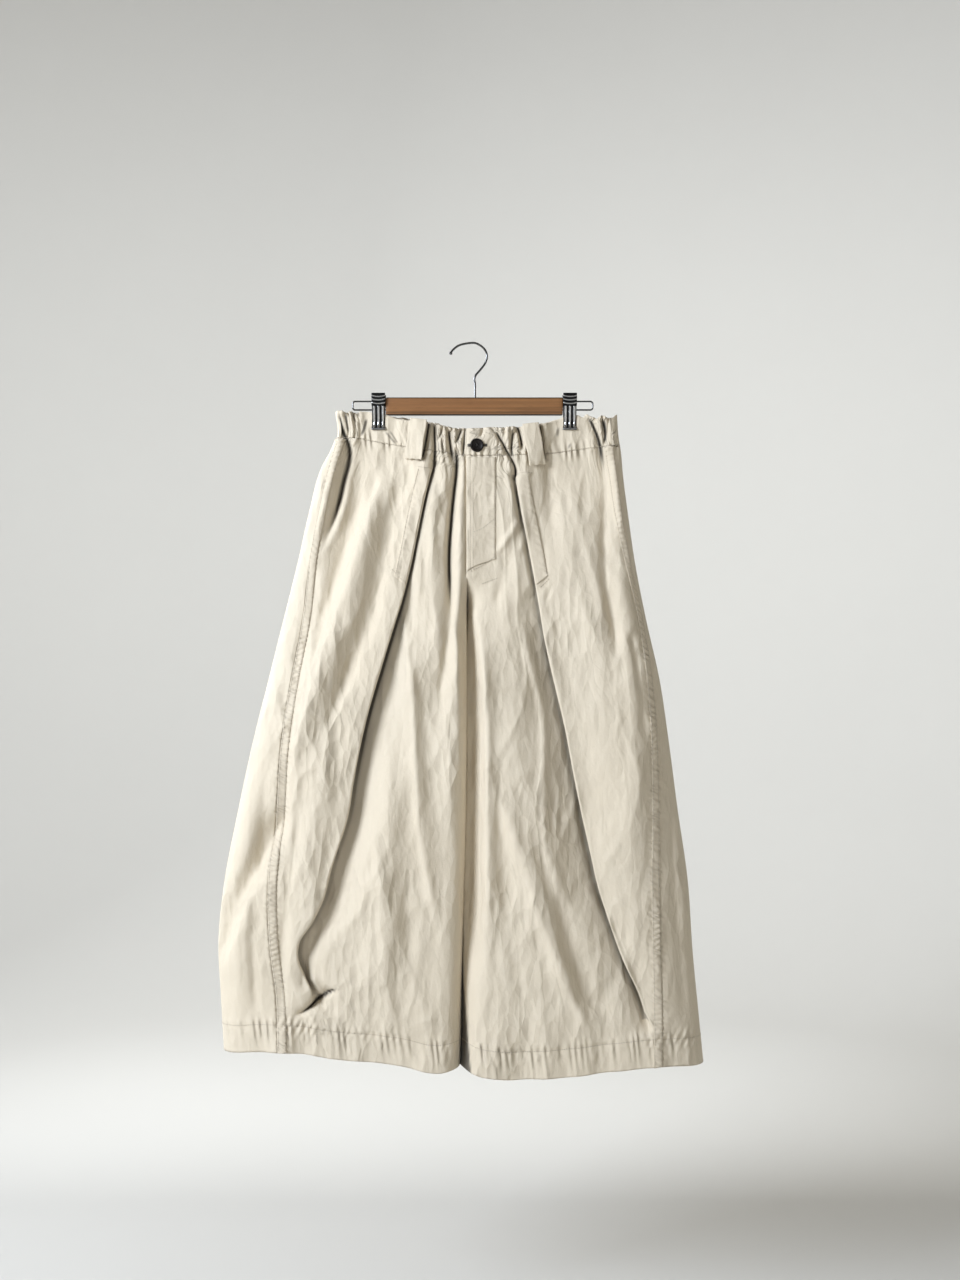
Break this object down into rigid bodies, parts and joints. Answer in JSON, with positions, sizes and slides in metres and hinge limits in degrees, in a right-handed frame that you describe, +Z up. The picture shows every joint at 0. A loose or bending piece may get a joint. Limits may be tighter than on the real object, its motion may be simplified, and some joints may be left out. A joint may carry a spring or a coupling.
{
  "type": "wide-leg trousers on a clip hanger",
  "caption": "Wide-leg pleated cotton trousers with a gathered waistband, fly, button and slash pockets, hanging flat from two clips on a wooden hanger.",
  "frame": {"origin": "inside top of the hook, where it rests on the nail that holds it", "axes": "+Z up, +Y to the wall behind, -Y the front of the trousers, +X to the right seen from the front"},
  "size_m": [0.6778, 0.0985, 1.0194],
  "materials": {
    "cloth": "matt plain-weave cotton",
    "trim_cloth": "matt plain-weave cotton, double stitched",
    "wood": "satin lacquer",
    "steel": "plated, bright",
    "button": "semi-gloss, dark brown"
  },
  "bodies": {
    "root": {"front_left": "cloth", "front_right": "cloth", "back_left": "cloth", "back_right": "cloth", "waistband_front_left": "cloth", "waistband_front_right": "cloth", "waistband_back": "cloth", "belt_loop_left": "cloth", "belt_loop_right": "cloth", "belt_loop_back_left": "cloth", "belt_loop_back_right": "cloth", "fly_placket": "trim_cloth", "pocket_strip_left": "trim_cloth", "pocket_strip_right": "trim_cloth", "side_seam_left": "trim_cloth", "side_seam_right": "trim_cloth", "hem_left": "trim_cloth", "hem_right": "trim_cloth", "hanger_hook": "steel", "wire_loop_left": "steel", "wire_loop_right": "steel", "clip_left_front_jaw": "steel", "clip_left_back_jaw": "steel", "clip_right_front_jaw": "steel", "clip_right_back_jaw": "steel", "hanger_bar": "wood", "button": "button"}
  },
  "joints": []
}
